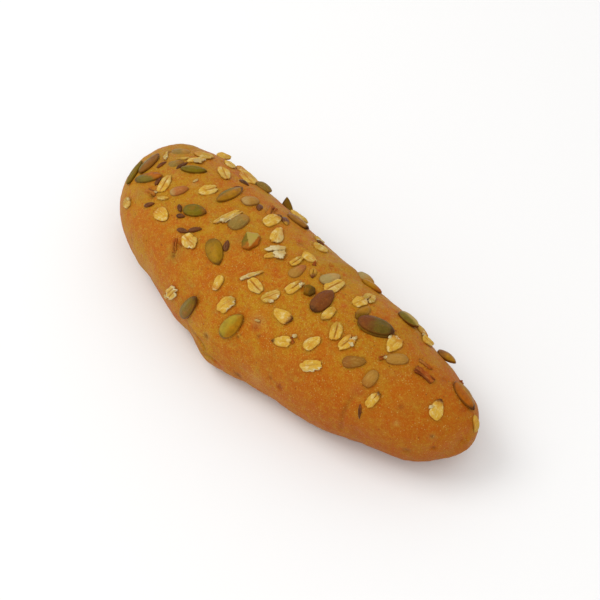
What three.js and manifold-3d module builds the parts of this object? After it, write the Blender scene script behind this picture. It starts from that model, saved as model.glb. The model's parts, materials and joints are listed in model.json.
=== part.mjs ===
// A seeded spelt stick roll: one baked piece, with seeds and oat flakes fused to its crust.
// Millimetres. +X runs along the roll, +Z is up and the roll rests on the plane z = 0.
// A place on the crust is given as along (mm from the middle) and round (degrees from the top
// ridge, positive towards +Y). turn is the angle of a seed's long axis from the +X direction.
import * as THREE from 'three';
import { mergeVertices } from 'three/addons/utils/BufferGeometryUtils.js';
import Module from 'manifold-3d';

// The dough
const rollLength = 205;
const rollWidth = 69;
const rollHeight = 45;
const beltHeight = 19; // the height at which the roll is widest
const baseSink = 4; // how far the round underside would reach below its flat
const bowDepth = 10.5; // both ends swing this far towards +Y
const bowMiddle = -1; // where the middle of the bow crosses Y
const widthTaper = 0.1; // the +X end is this share slimmer, the other end this share wider
const farBluntness = 3;
const nearBluntness = 2.5;
const topSquareness = 2.2;
const sideSquareness = 2.5;
const crownFall = 0.85; // how early the top slopes down towards the ends
const baseFall = 0.6;
const doughFacets = 43; // facets round the dough
const doughRows = 44; // facets along the dough

// Uneven swelling of the dough: along, round, reach along, reach round (degrees), height
const swells = [
  [-84, -112, 13, 45, -1.3],
  [-58, -112, 14, 45, -2.2],
  [-4, -112, 12, 45, 4.8],
  [22, -112, 14, 45, 0.7],
  [76, -112, 9, 45, -1.4],
  [92, -112, 8, 45, 0.6],
  [-84, 58, 13, 45, -1.5],
  [-58, 58, 15, 45, -1],
  [48, 58, 13, 45, 0.9],
  [68, 58, 10, 45, -1.3],
  [86, 58, 10, 45, -1.9],
];

// Each kind of seed: share of its length that is the width of a scattered one, thickness in mm, how
// much slimmer its +X end is, how far its middle stands above the crust in mm, facets round it, and
// whether it bends to follow the crust
const kinds = {
  pumpkin: { width: 0.5, thickness: 2.9, point: 0.14, stand: 0.5, facets: 11, bends: false },
  sunflower: { width: 0.56, thickness: 3, point: 0.12, stand: 0.3, facets: 9, bends: false },
  oat: { width: 0.6, thickness: 1.5, point: 0.12, stand: 0.4, facets: 8, bends: true },
  strip: { width: 0.3, thickness: 1.6, point: 0.1, stand: 0.4, facets: 6, bends: true },
  flax: { width: 0.4, thickness: 1.7, point: 0.25, stand: 0.3, facets: 6, bends: true },
  husk: { width: 0.4, thickness: 2.2, point: 0, stand: 0.2, facets: 8, bends: true },
};

// The seeds that lie on the crown and on the -Y side: along, round, turn, length, width, and where
// it has them, extra height and lean (degrees by which its face tips towards the ridge)
const seeds = {
  pumpkin: [
    [-92.3, -44.5, 130, 13.6, 5.4],
    [-90, -22.8, 120, 13.8, 5.8],
    [-82.2, -33.2, 54, 13.8, 5.7],
    [-70.2, 13.7, 45, 12, 5.2],
    [-48.9, -18.4, 36, 10.9, 6.7],
    [-25.2, -31.2, -23, 13.8, 7.4],
    [-46.6, 22, 98, 15.4, 6.1],
    [-18.7, -0.3, 0, 9, 9.8],
    [5, -63.7, 64, 13.8, 7],
    [-19.2, -76.3, 70, 16, 6.3],
    [-19.3, 57.5, 12, 11.8, 6, 0.4, 12],
    [-35.6, 74, 70, 10, 6.4, 1.6],
    [18.9, 0.8, 20, 6.2, 6.2],
    [26.4, 1.4, 98, 13.7, 7.7],
    [29.3, 55.5, 10, 11, 5.8, 0.3, 12],
    [50.1, 16, 26, 15.6, 8.5, 0.7],
    [41.5, 19.3, 98, 9.1, 4.8, -0.3],
    [72.4, 70, 4, 9.8, 5.2, 1.4, 42],
    [52.2, 52.5, 14, 10.4, 5.6, 0.8, 22],
    [92.8, 39, -2, 13.6, 7.4, 0, 6],
  ],
  sunflower: [
    [-63.7, -16.2, 72, 8.3, 5, -0.2],
    [-38.2, 33.3, 75, 8.2, 6.2],
    [-46, 64, 10, 9.2, 5.6, 0.8, 26],
    [-30.4, 6.1, 100, 10.6, 7.1],
    [7.3, 9.9, 93, 9.3, 4.9, -0.3],
    [18.7, 26.4, 80, 9.9, 5.6],
    [67, 3.2, 46, 9.6, 5.4],
    [56.6, -27.3, 38, 9.9, 5.4],
    [66.3, -31, 88, 8, 5.2],
    [-87, 25.6, 60, 9, 6.6, -0.75],
    [-80.3, 3.6, 80, 8, 4.6, -0.7],
    [24.3, 64.5, 8, 9.4, 6, 0.8, 24],
  ],
  oat: [
    [-72.1, -23.2, 126, 10.6, 5.1],
    [-59.7, -43.3, 9, 8.3, 6.2],
    [-54.6, 8.1, 76, 9, 6],
    [-75.7, 27.5, 70, 8.4, 4.4],
    [-78.2, 43, 204, 9.4, 7],
    [-82, -64.5, 14, 6.4, 5],
    [-38.2, -40.1, 0, 8.7, 6.4],
    [-60.6, 38.5, -22, 10.2, 5.4],
    [-67, 57, -14, 6.9, 4.8, 0, 6],
    [-78.4, 70, 12, 8.6, 5.4, 1.1, 30],
    [-54.8, 57.5, -14, 10.3, 6.8, 0, 8],
    [-62.5, 66, 2, 8.2, 5.2, 0.3, 12],
    [-57.5, 72, 6, 9.4, 5, 1, 14],
    [-51.5, 69, 10, 8, 4.8, 0.9, 12],
    [-23.2, 34.3, 104, 11.4, 6.3],
    [-14.1, 24.6, 130, 10.6, 5.1],
    [-12.7, -46.7, 110, 7.3, 4.1],
    [1.3, -28.9, -6, 8.7, 5.5],
    [9.8, -27.1, 66, 8.6, 5.1],
    [13.3, -6.2, 86, 9.2, 4.6],
    [20.3, -33.2, 185, 9.4, 5.3],
    [-2.6, -53.7, 68, 9, 6],
    [-31.2, -78.3, 60, 9.6, 5.2],
    [0.6, 49, 17, 7, 6, 0, 4],
    [4.2, 29.6, 8, 7.3, 4.9],
    [2.9, 17.2, 95, 7.7, 3.5],
    [23, 23, 90, 10.9, 6.2],
    [36.1, 26.9, 85, 7.3, 5.7],
    [36.2, 38.6, 105, 7.8, 5.2],
    [33, -4.6, 94, 8.1, 4.2],
    [41.5, -14, 119, 8.8, 5.2],
    [48.4, -17.2, 84, 8.8, 4.8],
    [38.3, -35.7, 71, 7.9, 4.8],
    [27.9, -49.1, 213, 8.8, 4.4],
    [44.5, -50.8, 33, 9.6, 5],
    [60.9, 14.3, 281, 9, 5.5],
    [58, 63, 12, 7.2, 4.6, 0.2, 10],
    [64.2, 57.5, 20, 5.6, 4.8, 0.3, 14],
    [72.4, -46.6, 255, 7.5, 4.3],
    [92.2, -16.8, 110, 8.8, 5.2],
    [99.8, 66, 90, 8.4, 5, 0.2],
    [-22.5, 64, 14, 9.6, 5, 1.2, 12],
    [-6.6, 3.4, 250, 6.2, 3, -0.2],
    [-2.6, 61.5, 16, 6, 3.8],
    [-5, 10, 80, 8, 5],
  ],
  strip: [
    [-36.3, 1.4, 88, 13.4, 2.7],
    [-34.3, 4.7, 90, 10.4, 2.1],
    [-4.1, -24.4, 67, 10.2, 2.1],
    [-88, 2.7, 146, 7.5, 1.9],
  ],
  flax: [
    [-84, -10.8, 103, 5.7, 2],
    [-76, -26.9, 120, 4.8, 2.3],
    [-69.2, -46.7, 57, 5.6, 2.2],
    [-55.2, -27.4, -20, 4.7, 2.1],
    [-51.6, -31.4, 38, 4.3, 2.3],
    [-44.8, -38.4, 27, 6.2, 2.3],
    [-40.7, -30, 55, 6.2, 2.5],
    [-76.4, 7.6, 101, 6.8, 2, -0.1],
    [-51.4, 47.6, 8, 5.6, 2.7],
    [-23.7, -20.1, 130, 6.1, 2.8],
    [-20.4, 44.8, -30, 6.2, 3.5],
    [12.2, 18.9, -51, 6, 3.1],
    [70.7, -63.3, -74, 7.6, 1.6, -0.55],
    [-48.6, 35.1, 80, 4.8, 2.3],
    [-32.5, 34.7, -45, 4.7, 3],
    [-1.2, 58.2, 10, 4.6, 2],
  ],
  husk: [
    [78.8, 10, 3, 9.8, 4.8],
    [-42.5, -50.9, 134, 5.6, 2.8],
    [-28.8, 42, 120, 7.4, 3.9],
    [-73.8, -38.2, 20, 6.4, 3.8],
  ],
};

// The seeds on the side away from the crown's edge, towards +Y, are scattered by a seeded rule.
const scatter = [
  ['pumpkin', 6, 13.5],
  ['sunflower', 4, 10],
  ['oat', 14, 9.5],
  ['flax', 5, 6.3],
];
const scatterAlong = [-90, 90];
const scatterRound = [88, 110];
const scatterSeed = 4;
const scatterTries = 4000;
const seedGap = 1.5;

const degree = Math.PI / 180;
const weldDistance = 1e-3;

const wasm = await Module();
wasm.setup();

function endCap(u) {
  const bluntness = u < 0 ? farBluntness : nearBluntness;
  return Math.max(0, 1 - Math.abs(u) ** bluntness) ** (1 / bluntness);
}

function swelling(along, round) {
  let height = 0;
  for (const [at, side, reach, spread, size] of swells) {
    const turned = THREE.MathUtils.euclideanModulo(round - side + 180, 360) - 180;
    height += size * Math.exp(-(((along - at) / reach) ** 2) - (turned / spread) ** 2);
  }
  return height;
}

// The point of the dough's surface at a place, before its underside is cut flat.
function doughPoint(along, round) {
  const u = THREE.MathUtils.clamp(along / (rollLength / 2), -1, 1);
  const cap = endCap(u);
  const angle = round * degree;
  const sideways = Math.sin(angle);
  const upward = Math.cos(angle);
  const halfWidth = (rollWidth / 2) * cap * (1 - widthTaper * u);
  const crown = (rollHeight - beltHeight) * cap ** crownFall;
  const belly = (beltHeight + baseSink) * cap ** baseFall;
  const centre = bowMiddle + bowDepth * u * u;
  let reach = 0;
  if (cap > 0) {
    const squareness = upward > 0 ? topSquareness : sideSquareness;
    const across = Math.abs(sideways) / halfWidth;
    const over = Math.abs(upward) / (upward > 0 ? crown : belly);
    reach = (across ** squareness + over ** squareness) ** (-1 / squareness);
    reach += swelling(along, round) * Math.min(1, 1.4 * cap);
  }
  return new THREE.Vector3(u * (rollLength / 2), centre + reach * sideways, beltHeight + reach * upward);
}

// The crust at a place: its point, its outward normal and its two directions.
function crustFrame(along, round) {
  const step = 0.4;
  const point = doughPoint(along, round);
  const forward = doughPoint(along + step, round).sub(doughPoint(along - step, round));
  const sidewards = doughPoint(along, round + step).sub(doughPoint(along, round - step));
  const normal = new THREE.Vector3().crossVectors(forward, sidewards).normalize();
  const alongPace = forward.length() / (2 * step);
  const roundPace = sidewards.length() / (2 * step);
  forward.normalize();
  const across = new THREE.Vector3().crossVectors(normal, forward);
  return { point, normal, forward, across, alongPace, roundPace };
}

function solid(geometry) {
  const bare = new THREE.BufferGeometry();
  bare.setAttribute('position', geometry.getAttribute('position').clone());
  bare.setIndex(geometry.getIndex());
  const welded = mergeVertices(bare, weldDistance);
  const mesh = new wasm.Mesh({
    numProp: 3,
    vertProperties: new Float32Array(welded.getAttribute('position').array),
    triVerts: new Uint32Array(welded.getIndex().array),
  });
  return new wasm.Manifold(mesh);
}

// Moves every vertex of a ball to where its shape needs it.
function shaped(ball, place) {
  const positions = ball.getAttribute('position');
  const vertex = new THREE.Vector3();
  for (let i = 0; i < positions.count; i += 1) {
    vertex.fromBufferAttribute(positions, i);
    const moved = place(vertex);
    positions.setXYZ(i, moved.x, moved.y, moved.z);
  }
  return ball;
}

function dough() {
  const ball = new THREE.SphereGeometry(1, doughFacets, doughRows);
  const place = (vertex) => {
    const round = Math.atan2(vertex.x, vertex.z) / degree;
    return doughPoint(-vertex.y * (rollLength / 2), round);
  };
  return solid(shaped(ball, place));
}

// What lies below the plane that the roll rests on.
function below() {
  const depth = 20;
  const box = new THREE.BoxGeometry(rollLength * 2, rollWidth * 2, depth);
  box.translate(0, 0, -depth / 2);
  return solid(box);
}

// A seed as a flattened ball: its poles are its two broad faces and +X is its pointed end.
function seed(kind, along, round, turn, length, width, extraHeight = 0, lean = 0) {
  const { thickness, point, stand, facets, bends } = kinds[kind];
  const frame = crustFrame(along, round);
  const cosTurn = Math.cos(turn * degree);
  const sinTurn = Math.sin(turn * degree);
  const cosLean = Math.cos(lean * degree);
  const sinLean = Math.sin(lean * degree);
  const ball = new THREE.SphereGeometry(1, facets, 3);
  ball.rotateX(Math.PI / 2);
  const place = (vertex) => {
    const lengthwise = (vertex.x * length) / 2;
    const crosswise = ((vertex.y * width) / 2) * (1 - point * vertex.x);
    const upward = (vertex.z * thickness) / 2;
    const onward = lengthwise * cosTurn - crosswise * sinTurn;
    const flat = lengthwise * sinTurn + crosswise * cosTurn;
    const outward = flat * cosLean - upward * sinLean;
    const height = flat * sinLean + upward * cosLean + stand + extraHeight;
    if (bends) {
      const there = crustFrame(along + onward / frame.alongPace, round + outward / frame.roundPace);
      return there.point.addScaledVector(there.normal, height);
    }
    const moved = frame.point.clone().addScaledVector(frame.forward, onward);
    return moved.addScaledVector(frame.across, outward).addScaledVector(frame.normal, height);
  };
  return solid(shaped(ball, place));
}

// A repeatable row of numbers from 0 to 1.
function drawer(start) {
  const modulus = 2147483647;
  let state = start * 7919;
  return () => {
    state = (state * 48271) % modulus;
    return state / modulus;
  };
}

function between(range, share) {
  return range[0] + (range[1] - range[0]) * share;
}

function tooClose(place, placed) {
  const paceRound = 0.58;
  return placed.some(([along, round, size]) => {
    const distance = Math.hypot(along - place[0], (round - place[1]) * paceRound);
    return distance < (size + place[2]) / 2 + seedGap;
  });
}

function scatteredSeeds() {
  const draw = drawer(scatterSeed);
  const placed = [];
  for (const rows of Object.values(seeds)) {
    rows.forEach(([along, round, , length]) => placed.push([along, round, length * 0.8]));
  }
  const found = [];
  for (const [kind, count, length] of scatter) {
    let left = count;
    for (let i = 0; i < scatterTries && left > 0; i += 1) {
      const size = length * between([0.9, 1.08], draw());
      const place = [between(scatterAlong, draw()), between(scatterRound, draw()), size * 0.8];
      const turn = between([0, 180], draw());
      if (!tooClose(place, placed)) {
        placed.push(place);
        found.push([kind, place[0], place[1], turn, size, size * kinds[kind].width]);
        left -= 1;
      }
    }
  }
  return found;
}

// The dough with its seeds fused on and its base cut flat. Only the one large body is kept: the
// hollows that fusing seals are filled and loose scraps are dropped.
function roll() {
  const pieces = [dough()];
  for (const [kind, rows] of Object.entries(seeds)) {
    rows.forEach((row) => pieces.push(seed(kind, ...row)));
  }
  scatteredSeeds().forEach((row) => pieces.push(seed(...row)));
  const joined = wasm.Manifold.union(pieces).subtract(below());
  return joined.decompose().sort((a, b) => b.volume() - a.volume())[0];
}

function geometryOf(manifold) {
  const mesh = manifold.getMesh();
  const geometry = new THREE.BufferGeometry();
  geometry.setAttribute('position', new THREE.BufferAttribute(mesh.vertProperties, 3));
  geometry.setIndex(new THREE.BufferAttribute(mesh.triVerts, 1));
  geometry.computeVertexNormals();
  return geometry;
}

const crust = new THREE.MeshStandardMaterial({ color: 0xb9772f, roughness: 0.55, metalness: 0 });
const rollMesh = new THREE.Mesh(geometryOf(roll()), crust);
rollMesh.name = 'roll';

const group = new THREE.Group();
group.add(rollMesh);
export default group;
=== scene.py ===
import json
import math
import bpy
import numpy as np
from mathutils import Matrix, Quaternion, Vector, noise

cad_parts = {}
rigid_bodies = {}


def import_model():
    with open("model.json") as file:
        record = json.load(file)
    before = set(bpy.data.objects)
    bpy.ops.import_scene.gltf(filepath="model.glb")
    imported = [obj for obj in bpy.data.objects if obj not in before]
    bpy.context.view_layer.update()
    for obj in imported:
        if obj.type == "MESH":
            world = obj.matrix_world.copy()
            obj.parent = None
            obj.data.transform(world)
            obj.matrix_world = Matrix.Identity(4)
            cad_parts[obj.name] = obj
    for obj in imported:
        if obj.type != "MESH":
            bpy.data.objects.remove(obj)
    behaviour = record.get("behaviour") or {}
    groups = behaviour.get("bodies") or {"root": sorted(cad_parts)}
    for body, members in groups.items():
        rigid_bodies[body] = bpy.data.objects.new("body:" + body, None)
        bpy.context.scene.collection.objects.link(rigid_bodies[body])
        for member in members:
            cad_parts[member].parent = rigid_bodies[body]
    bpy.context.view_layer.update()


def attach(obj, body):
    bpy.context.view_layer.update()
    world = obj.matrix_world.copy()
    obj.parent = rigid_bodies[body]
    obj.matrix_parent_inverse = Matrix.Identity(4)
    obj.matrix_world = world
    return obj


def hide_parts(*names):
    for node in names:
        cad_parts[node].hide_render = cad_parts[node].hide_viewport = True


# A seeded spelt stick roll. Sizes are in mm and are turned into metres as meshes are made.
# A place on the crust is along (mm from the middle) and around (degrees from the top ridge,
# positive towards +Y). A turn is the angle of a seed's long axis from +X, and + is its slim end.
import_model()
mm = 0.001

dough = {
    "length": 205, "width": 69, "height": 45,
    "belt": 19,  # the height at which the roll is widest
    "sink": 4,  # how far the round underside would reach below its flat
    "bow": 10.5, "bowMiddle": -1,  # both ends swing towards +Y
    "taper": 0.1,  # the near end is this share slimmer, the far end this share wider
    "farBluntness": 3, "nearBluntness": 2.5,
    "topSquareness": 2.2, "sideSquareness": 2.5,
    "crownFall": 0.85, "baseFall": 0.6,
    "nose": 2.4, "noseFace": 110,  # how far the near end reaches out low down, and where round it
    "noseFrom": 0.8,  # the share of the way to the tip where that starts
    "rows": 400, "columns": 232, "crowding": 0.18,  # how much finer it is over the top than underneath
    "soleEase": 0.7,  # how softly the side turns into the flat underside
}
swells = [  # along, around, reach along, reach around (degrees), height
    (-84, -112, 13, 45, -1.3), (-58, -112, 14, 45, -2.2), (-4, -112, 12, 45, 4.8), (22, -112, 14, 45, 0.7),
    (76, -112, 9, 45, -1.4), (92, -112, 8, 45, 0.6), (-84, 58, 13, 45, -1.5), (-58, 58, 15, 45, -1),
    (48, 58, 13, 45, 0.9), (68, 58, 10, 45, -1.3), (86, 58, 10, 45, -1.2), (-93, 38, 13, 40, -1.1),
    (-86, -100, 15, 40, 1.3), (9, -112, 4, 35, 0.9), (-29, -112, 7, 35, 1.2), (-63, -112, 6, 35, 0.9),
    (30, -112, 7, 35, -0.9), (64, -112, 5, 35, -0.9), (101, -130, 4, 32, -3), (97, 75, 7, 30, 0.9),
]


def turned(degrees):
    # the same angle between -180 and 180
    return (degrees + 180) % 360 - 180


def aimed(degrees):
    return math.cos(math.radians(degrees)), math.sin(math.radians(degrees))


def crustPoint(along, around):
    along, around = np.broadcast_arrays(np.asarray(along, float), np.asarray(around, float))
    half = dough["length"] / 2
    u = np.clip(along / half, -1, 1)
    bluntness = np.where(u < 0, dough["farBluntness"], dough["nearBluntness"])
    cap = np.maximum(1e-9, 1 - np.abs(u) ** bluntness) ** (1 / bluntness)
    side, upward = np.sin(np.radians(around)), np.cos(np.radians(around))
    halfWidth = dough["width"] / 2 * cap * (1 - dough["taper"] * u)
    crown = (dough["height"] - dough["belt"]) * cap ** dough["crownFall"]
    belly = (dough["belt"] + dough["sink"]) * cap ** dough["baseFall"]
    rise = np.where(upward > 0, crown, belly)
    squareness = np.where(upward > 0, dough["topSquareness"], dough["sideSquareness"])
    reach = (np.abs(side) / halfWidth) ** squareness + (np.abs(upward) / rise) ** squareness
    reach = reach ** (-1 / squareness)
    for middle, face, length, spread, height in swells:
        swell = np.exp(-((along - middle) / length) ** 2 - (turned(around - face) / spread) ** 2)
        reach = reach + height * swell * np.minimum(1, 1.4 * cap)  # dies away at both tips
    centre = dough["bowMiddle"] + dough["bow"] * u * u
    low = 0.5 + 0.5 * np.cos(np.radians(around - dough["noseFace"]))
    onNose = np.clip((u - dough["noseFrom"]) / (1 - dough["noseFrom"]), 0, 1) ** 2
    nose = dough["nose"] * onNose * low
    return np.stack([u * half + nose, centre + reach * side, dough["belt"] + reach * upward], -1)


def crustFrame(along, around):
    # the place, its normal, its two directions, and its paces: mm for each mm along and each degree around
    step = 0.4
    forward = crustPoint(along + step, around) - crustPoint(along - step, around)
    sidewards = crustPoint(along, around + step) - crustPoint(along, around - step)
    alongPace = np.linalg.norm(forward, axis=-1) / (2 * step)
    aroundPace = np.linalg.norm(sidewards, axis=-1) / (2 * step)
    normal = np.cross(forward, sidewards)
    normal = normal / np.maximum(1e-9, np.linalg.norm(normal, axis=-1, keepdims=True))
    forward = forward / np.maximum(1e-9, np.linalg.norm(forward, axis=-1, keepdims=True))
    return crustPoint(along, around), normal, forward, np.cross(normal, forward), alongPace, aroundPace


studioGain = 1.28  # how much brighter than its own colour a lit surface looks


def shade(red, green, blue):
    # a colour as seen on screen, 0 to 255, as the linear values that shaders use
    shares = [c / 255 for c in (red, green, blue)]
    linear = [((c + 0.055) / 1.055) ** 2.4 if c > 10 / 255 else c / 12.92 for c in shares]
    return (*[value / studioGain for value in linear], 1.0)


class Wire:
    # An output socket that plain arithmetic works on
    def __init__(self, graph, socket):
        self.graph, self.socket = graph, socket

    def __add__(self, other):
        return self.graph.sum("ADD", self, other)

    def __sub__(self, other):
        return self.graph.sum("SUBTRACT", self, other)

    def __rsub__(self, other):
        return self.graph.sum("SUBTRACT", other, self)

    def __mul__(self, other):
        return self.graph.sum("MULTIPLY", self, other)

    __radd__, __rmul__ = __add__, __mul__


class Graph:
    # The nodes of one material or of one geometry tree
    def __init__(self, tree):
        self.tree = tree

    def node(self, kind, settings=None, inputs=None, output=None):
        made = self.tree.nodes.new(kind)
        for name, value in (settings or {}).items():
            setattr(made, name, value)
        for name, value in (inputs or {}).items():
            self.feed(self.find(made, name), value)
        outputs = [s for s in made.outputs if s.enabled and output in (None, s.name, s.identifier)]
        return Wire(self, outputs[0])

    def find(self, made, name):
        if isinstance(name, int):
            return made.inputs[name]
        named = [s for s in made.inputs if s.identifier == name]
        return (named or [s for s in made.inputs if s.name == name and s.enabled])[0]

    def feed(self, socket, value):
        if isinstance(value, Wire):
            self.tree.links.new(value.socket, socket)
        elif socket.type in ("VECTOR", "ROTATION") and isinstance(value, (int, float)):
            socket.default_value = (value, value, value)
        else:
            socket.default_value = value

    def sum(self, operation, first, second):
        wires = [w for w in (first, second) if isinstance(w, Wire)]
        vector = any(w.socket.type == "VECTOR" for w in wires)
        kind = "ShaderNodeVectorMath" if vector else "ShaderNodeMath"
        return self.node(kind, {"operation": operation}, {0: first, 1: second})

    def maths(self, operation, first, second=0.0):
        return self.node("ShaderNodeMath", {"operation": operation}, {0: first, 1: second})

    def between(self, value, low, high):
        # 0 below low and 1 above high, with a soft step in between
        inputs = {"Value": value, "From Min": low, "From Max": high}
        return self.node("ShaderNodeMapRange", {"interpolation_type": "SMOOTHSTEP"}, inputs)

    def mix(self, factor, first, second, blend="MIX"):
        inputs = {"Factor_Float": factor, "A_Color": first, "B_Color": second}
        settings = {"data_type": "RGBA", "blend_type": blend, "clamp_factor": True}
        return self.node("ShaderNodeMix", settings, inputs, "Result_Color")

    def noise(self, where, scale, detail=2.0, roughness=0.5):
        inputs = {"Vector": where, "Scale": scale, "Detail": detail, "Roughness": roughness}
        return self.node("ShaderNodeTexNoise", None, inputs)

    def cells(self, where, scale, output="Distance"):
        return self.node("ShaderNodeTexVoronoi", None, {"Vector": where, "Scale": scale}, output)

    def parts(self, vector):
        made = self.node("ShaderNodeSeparateXYZ", None, {0: vector})
        return [Wire(self, s) for s in made.socket.node.outputs]

    def vector(self, x, y, z):
        return self.node("ShaderNodeCombineXYZ", None, {0: x, 1: y, 2: z})


class Finish(Graph):
    # A material with one main shader, and what its colours are made with
    def __init__(self, name, **constants):
        self.material = bpy.data.materials.new(name)
        self.material.use_nodes = True
        super().__init__(self.material.node_tree)
        self.shader = self.tree.nodes["Principled BSDF"]
        self.shader.inputs["Specular Tint"].default_value = (1, 0.72, 0.32, 1)  # oil on a baked skin
        for socket, value in constants.items():
            self.shader.inputs[socket.replace("_", " ")].default_value = value

    def spot(self):
        # the place on the object in mm
        return self.node("ShaderNodeTexCoord", None, None, "Object") * (1 / mm)

    def value(self, name, output="Fac"):
        return self.node("ShaderNodeAttribute", {"attribute_name": name}, None, output)

    def split(self, name):
        return self.parts(self.value(name, "Vector"))

    def coated(self, colour, *coats):
        # lays colours as seen on screen over one another, each by the share that it covers
        for share, tone in coats:
            colour = self.mix(share, colour, shade(*tone))
        return colour

    def glazed(self, colour, *coats):
        # multiplies a colour by each tone, by its share
        for share, tone in coats:
            colour = self.mix(share, colour, (*tone, 1), "MULTIPLY")
        return colour

    def wear(self, colour, roughness=None, relief=None, depth=0.0, strength=1.0):
        self.feed(self.shader.inputs["Base Color"], colour)
        if roughness is not None:
            self.feed(self.shader.inputs["Roughness"], roughness)
        if relief is not None:
            inputs = {"Height": relief, "Distance": depth * mm, "Strength": strength}
            self.feed(self.shader.inputs["Normal"], self.node("ShaderNodeBump", None, inputs))
        return self.material


layerKinds = {"FLOAT": "value", "INT": "value", "FLOAT_VECTOR": "vector", "FLOAT_COLOR": "color"}


def meshObject(name, points, faces=(), layers=None, collection=None):
    mesh = bpy.data.meshes.new(name)
    mesh.from_pydata(np.asarray(points).tolist(), [], faces)
    for layer, (kind, values) in (layers or {}).items():
        attribute = mesh.attributes.new(layer, kind, "POINT")
        values = np.asarray(values, int if kind == "INT" else float).ravel()
        attribute.data.foreach_set(layerKinds[kind], values)
    mesh.shade_smooth()
    made = bpy.data.objects.new(name, mesh)
    (collection or bpy.context.scene.collection).objects.link(made)
    return made


def geometryTree(name, inputs):
    # A tree with a geometry in and out, and named inputs with their kinds and values
    tree = bpy.data.node_groups.new(name, "GeometryNodeTree")
    tree.interface.new_socket("Geometry", in_out="INPUT", socket_type="NodeSocketGeometry")
    for label, (kind, value) in inputs.items():
        socket = tree.interface.new_socket(label, in_out="INPUT", socket_type="NodeSocket" + kind)
        if kind in ("Float", "Int"):
            socket.default_value = value
    tree.interface.new_socket("Geometry", in_out="OUTPUT", socket_type="NodeSocketGeometry")
    graph = Graph(tree)
    entry = tree.nodes.new("NodeGroupInput")
    graph.inputs = {s.name: Wire(graph, s) for s in entry.outputs if s.name}
    return graph


def closeTree(graph, geometry, material):
    painted = graph.node("GeometryNodeSetMaterial", None, {"Geometry": geometry, "Material": material})
    graph.feed(graph.tree.nodes.new("NodeGroupOutput").inputs[0], painted)


def gathered(name, members=()):
    # a new collection in the scene
    made = bpy.data.collections.new(name)
    bpy.context.scene.collection.children.link(made)
    for member in members:
        made.objects.link(member)
    return made


def grown(made, graph, inputs, keep):
    # Runs a geometry tree on an object and leaves its result as a plain mesh
    modifier = made.modifiers.new(graph.tree.name, "NODES")
    modifier.node_group = graph.tree
    for item in graph.tree.interface.items_tree:
        if item.in_out == "INPUT" and item.name in inputs:
            modifier[item.identifier] = inputs[item.name][1]
    bpy.context.view_layer.update()
    depsgraph = bpy.context.evaluated_depsgraph_get()
    evaluated = made.evaluated_get(depsgraph)
    mesh = bpy.data.meshes.new_from_object(evaluated, preserve_all_data_layers=True, depsgraph=depsgraph)
    made.modifiers.clear()
    old, made.data = made.data, mesh
    bpy.data.meshes.remove(old)
    mesh.name = made.name
    painted = [material for material in mesh.materials if material]
    mesh.materials.clear()
    mesh.materials.append(painted[0])
    for name in [a.name for a in mesh.attributes]:
        attribute = mesh.attributes[name]
        if not attribute.is_internal and not attribute.is_required and name not in keep + ["sharp_face"]:
            mesh.attributes.remove(attribute)
    return made


# The shapes of the seeds. Each is a closed lens of unit half length, half width and half
# thickness, made of rings of points: over the top, out to the rim, and back underneath. Its rim is
# outline(angle), its two sides top and bottom(x, y, share of the way to the rim), and groove and torn
# are masks for its finish.
def lens(name, collection, spokes, rings, outline, top, bottom, groove=None, torn=None):
    rim = np.array([outline(a) for a in np.arange(spokes) / spokes * 2 * math.pi])
    steps = np.sin(np.arange(1, rings + 1) / rings * math.pi / 2)
    points, shares = [(0, 0, top(0, 0, 0))], [0]
    for surface, onSurface in ((top, steps), (bottom, steps[-2::-1])):
        for s in onSurface:
            points += [(s * x, s * y, surface(s * x, s * y, s)) for x, y in rim]
            shares += [s] * spokes
    points = np.array(points + [(0, 0, bottom(0, 0, 0))])
    shares.append(0)
    last, faces = len(points) - 1, []
    for i in range(spokes):
        j = (i + 1) % spokes
        faces.append((0, 1 + i, 1 + j))
        faces += [(low + i, low + spokes + i, low + spokes + j, low + j)
                  for low in range(1, last - spokes, spokes)]
        faces.append((last, last - spokes + j, last - spokes + i))
    relief = np.zeros_like(points)
    relief[:, 0] = shares
    if torn:
        relief[:, 1] = [torn(x, y, s) for (x, y, _), s in zip(points, shares)]
    if groove:
        relief[:, 2] = [groove(x, y) for x, y, _ in points]
    layers = {"place": ("FLOAT_VECTOR", points), "relief": ("FLOAT_VECTOR", relief)}
    return meshObject(name, points, faces, layers, collection)


def rough(x, y, seed):
    # smooth unevenness from -1 to 1, repeatable
    return noise.noise(Vector((x + 7.3 * seed, y - 3.1 * seed, 1.7 * seed)))


def uneven(x, y, pace, depth, seed):
    # a place on an outline, moved outwards or inwards a little
    reach = 1 + depth * rough(x * pace, y * pace, seed)
    return x * reach, y * reach


def dome(share, edge, fall):
    # the height of a dome at a share of the way to its rim
    return max(0, 1 - share ** edge) ** fall


def under(edge, fall):
    # the plain underside of a seed
    return lambda x, y, s: -dome(s, edge, fall)


def bump(value, middle, width):
    return math.exp(-((value - middle) / width) ** 2)


def windowed(x, low, high, soft=0.12):
    return 1 / (1 + math.exp(-(x - low) / soft * 2)) / (1 + math.exp((x - high) / soft * 2))


def cornered(a, corners):
    # a many-cornered outline around the middle: its corners as (x, y), joined by straight lines
    ordered = sorted(corners, key=lambda corner: math.atan2(corner[1], corner[0]))
    for (x, y), (nextX, nextY) in zip(ordered, ordered[1:] + ordered[:1]):
        start = math.atan2(y, x)
        sweep = (math.atan2(nextY, nextX) - start) % (2 * math.pi)
        if (a - start) % (2 * math.pi) <= sweep:
            dx, dy = nextX - x, nextY - y
            reach = (x * dy - y * dx) / (math.cos(a) * dy - math.sin(a) * dx)
            return reach * math.cos(a), reach * math.sin(a)
    return ordered[0]


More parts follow.
